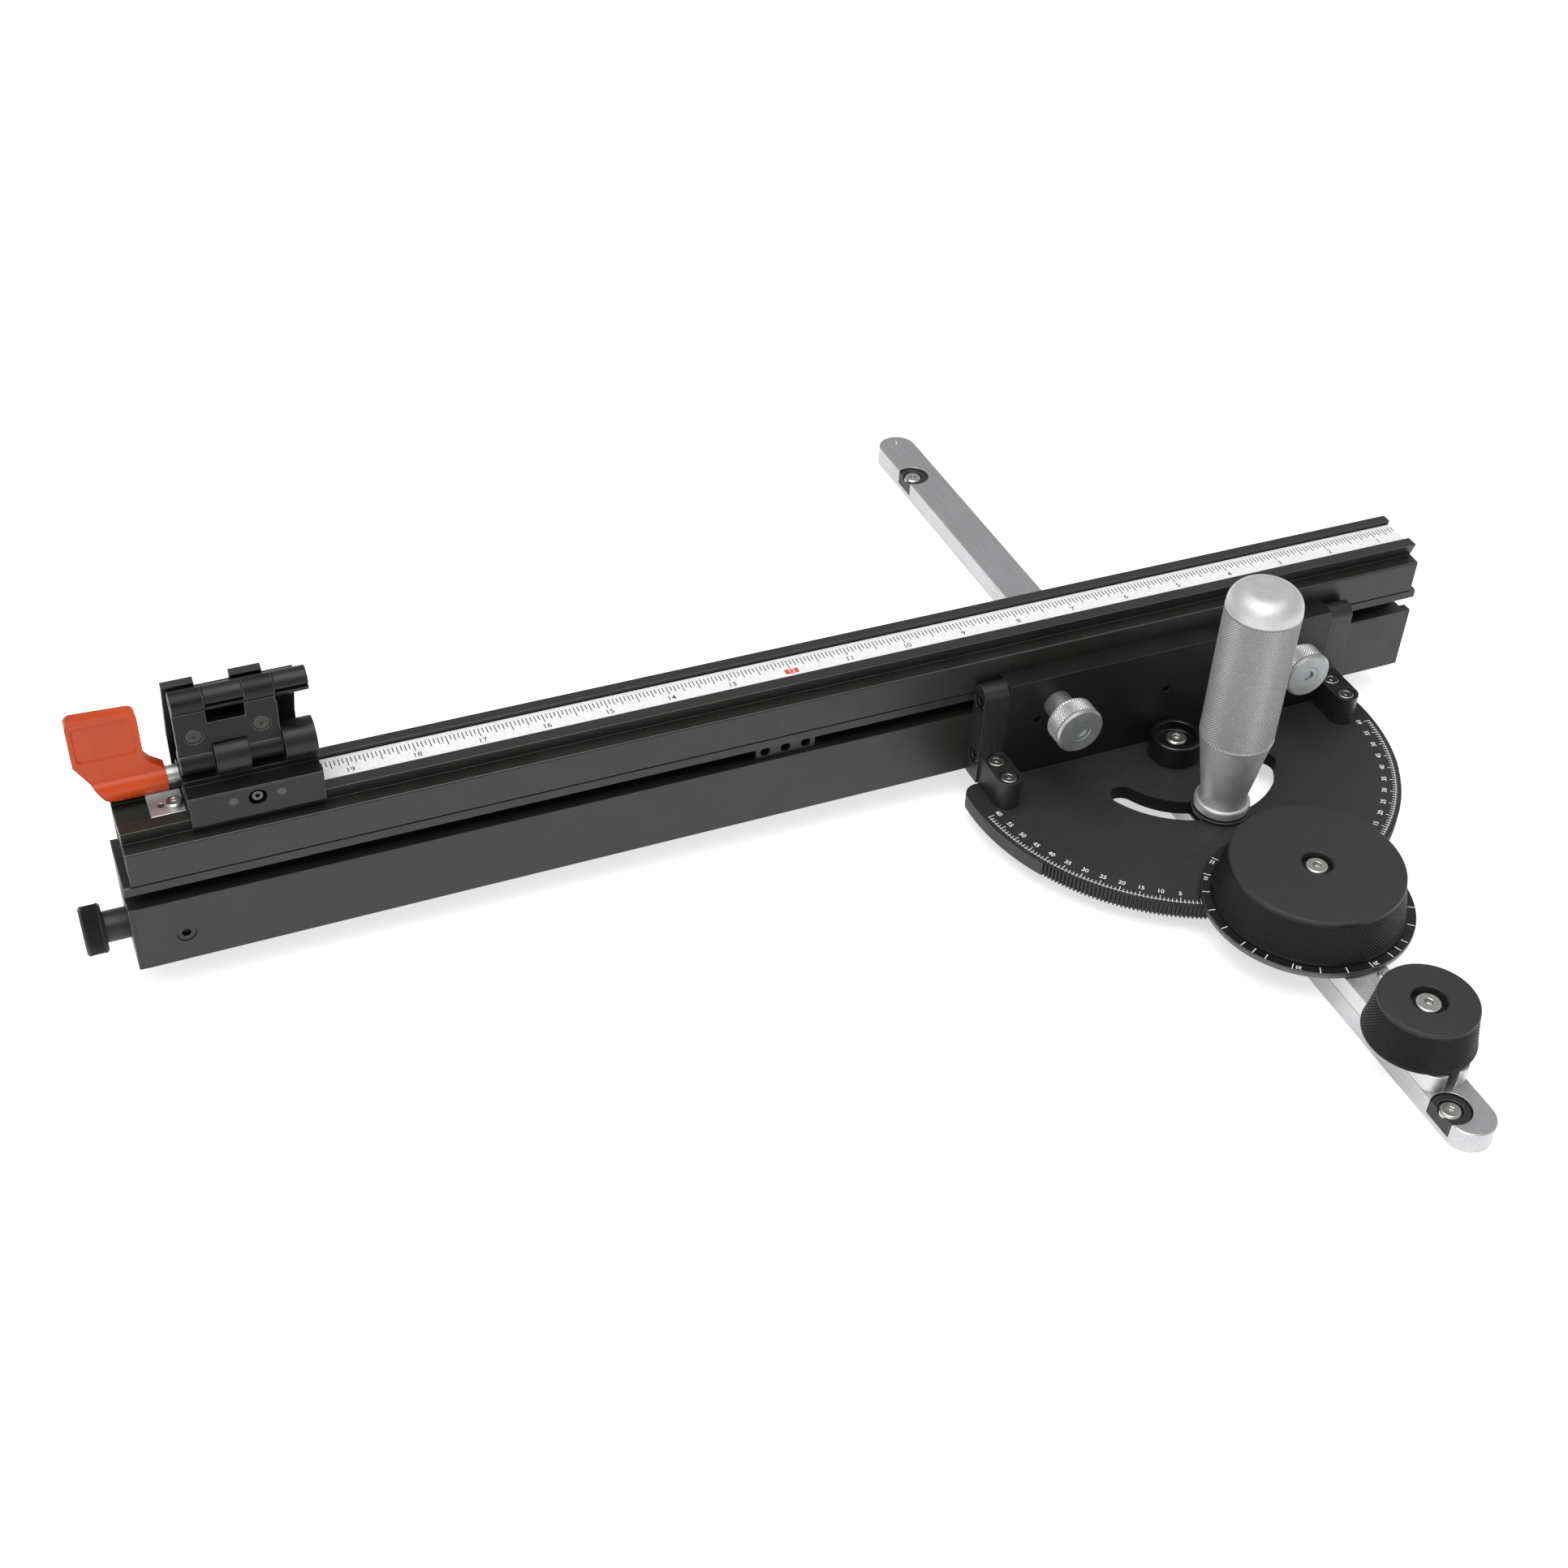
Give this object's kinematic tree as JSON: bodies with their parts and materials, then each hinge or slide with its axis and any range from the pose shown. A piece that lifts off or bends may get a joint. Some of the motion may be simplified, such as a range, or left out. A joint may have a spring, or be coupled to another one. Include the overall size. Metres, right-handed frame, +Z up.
{
  "type": "table saw mitre gauge",
  "caption": "Mitre gauge for a table saw: slot bar, toothed protractor head with knob drive, clamping handle, slotted fence with inch scale and folding flip stop.",
  "frame": {"origin": "on the pivot axis of the protractor head, at the saw-table surface, which is the top of the bar and the underside of the plate", "axes": "+X along the fence to the user's right, +Y along the bar towards the blade, +Z up"},
  "size_m": [0.5773, 0.5085, 0.1287],
  "materials": {
    "bar_steel": "ground bright steel",
    "stud_steel": "turned steel",
    "bright_screws": "zinc-plated steel",
    "black_screws": "black oxide",
    "black_plate": "black anodised, fine blasted",
    "black_fence": "black anodised, drawn along its length",
    "black_stop": "black anodised, satin",
    "black_knob": "black anodised, knurled sides",
    "black_rod": "black anodised",
    "black_plastic": "moulded",
    "white_tape": "printed self-adhesive steel tape",
    "silver_aluminium": "clear anodised, satin",
    "red_plastic": "glossy moulded plastic",
    "brass": "plain"
  },
  "bodies": {
    "bar": {"mitre_bar": "bar_steel", "snug_discs": "black_plastic", "snug_screws": "bright_screws", "pivot_boss": "black_plate", "pivot_screw": "bright_screws", "handle_stud": "stud_steel", "handle_washer": "black_plate"},
    "head": {"protractor_plate": "black_plate", "face_plate": "black_plate", "bracket_left": "black_plate", "bracket_right": "black_plate", "bracket_foot_screws": "black_screws", "bracket_side_screws": "black_screws", "fence_extrusion": "black_fence", "fence_extrusion_web": "black_fence", "fence_extrusion_lip": "black_fence", "fence_rail": "black_fence", "fence_cap_left": "black_plastic", "fence_cap_right": "black_plastic", "scale_tape": "white_tape", "rail_end_plate": "silver_aluminium", "rail_end_screw": "bright_screws", "fence_tee_nuts": "stud_steel", "rod_lock_screw": "black_screws"},
    "thumb_left": {"thumb_screw_left": "silver_aluminium"},
    "thumb_right": {"thumb_screw_right": "silver_aluminium"},
    "drive_block": {"pinion_block": "silver_aluminium", "block_prongs": "silver_aluminium", "index_plate": "black_stop", "index_screw": "bright_screws"},
    "drive": {"drive_knob": "black_knob", "dial_ring": "black_knob", "drive_knob_screw": "bright_screws", "drive_spindle": "stud_steel", "pinion": "stud_steel"},
    "block_lock": {"lock_knob": "black_knob", "lock_knob_screw": "bright_screws"},
    "handle": {"clamp_handle": "silver_aluminium"},
    "stop": {"stop_carriage": "black_stop", "stop_set_screw": "black_screws", "stop_dowels": "black_screws", "clamp_jaw": "brass", "lower_hinge_pin": "stud_steel"},
    "stop_lever": {"stop_lever": "red_plastic", "lever_shaft": "stud_steel"},
    "arm": {"stop_arm": "black_stop", "arm_screws": "black_screws", "upper_hinge_pin": "stud_steel"},
    "finger": {"stop_finger": "black_stop"},
    "extension": {"extension_rod": "black_rod", "rod_knob": "black_knob"},
    "nut": {"accessory_tee_nut": "black_stop"}
  },
  "joints": [
    {"name": "swing", "type": "hinge", "parent": "bar", "child": "head", "pos_m": [0, 0, 0], "axis": [0, 0, 1], "range_deg": [-60, 60]},
    {"name": "block_slide", "type": "slide", "parent": "bar", "child": "drive_block", "axis": [0, -1, 0], "range_m": [0, 0.004]},
    {"name": "drive_turn", "type": "hinge", "parent": "drive_block", "child": "drive", "pos_m": [0, -0.1024, 0], "axis": [0, 0, 1], "range_deg": [-900, 900]},
    {"name": "block_lock_turn", "type": "hinge", "parent": "bar", "child": "block_lock", "pos_m": [0, -0.177, 0], "axis": [0, 0, 1], "range_deg": [0, 540]},
    {"name": "handle_turn", "type": "hinge", "parent": "bar", "child": "handle", "pos_m": [0, -0.0381, 0], "axis": [0, 0, 1], "range_deg": [0, 540]},
    {"name": "thumb_left_turn", "type": "hinge", "parent": "head", "child": "thumb_left", "pos_m": [-0.055, 0, 0.04], "axis": [0, -1, 0], "range_deg": [0, 720]},
    {"name": "thumb_right_turn", "type": "hinge", "parent": "head", "child": "thumb_right", "pos_m": [0.055, 0, 0.04], "axis": [0, -1, 0], "range_deg": [0, 720]},
    {"name": "stop_slide", "type": "slide", "parent": "head", "child": "stop", "axis": [1, 0, 0], "range_m": [0, 0.478]},
    {"name": "lever_turn", "type": "hinge", "parent": "stop", "child": "stop_lever", "pos_m": [-0.415, 0.042, 0.0782], "axis": [1, 0, 0], "range_deg": [0, 90]},
    {"name": "arm_fold", "type": "hinge", "parent": "stop", "child": "arm", "pos_m": [-0.38, 0.034, 0.0885], "axis": [1, 0, 0], "range_deg": [0, 80]},
    {"name": "finger_flip", "type": "hinge", "parent": "arm", "child": "finger", "pos_m": [-0.38, 0.034, 0.1147], "axis": [1, 0, 0], "range_deg": [0, 165]},
    {"name": "extension_slide", "type": "slide", "parent": "head", "child": "extension", "axis": [-1, 0, 0], "range_m": [0, 0.2]},
    {"name": "nut_slide", "type": "slide", "parent": "head", "child": "nut", "axis": [1, 0, 0], "range_m": [-0.24, 0.09]}
  ],
  "couplings": [
    {"joint": "drive_turn", "follows": "swing", "ratio": -15}
  ]
}
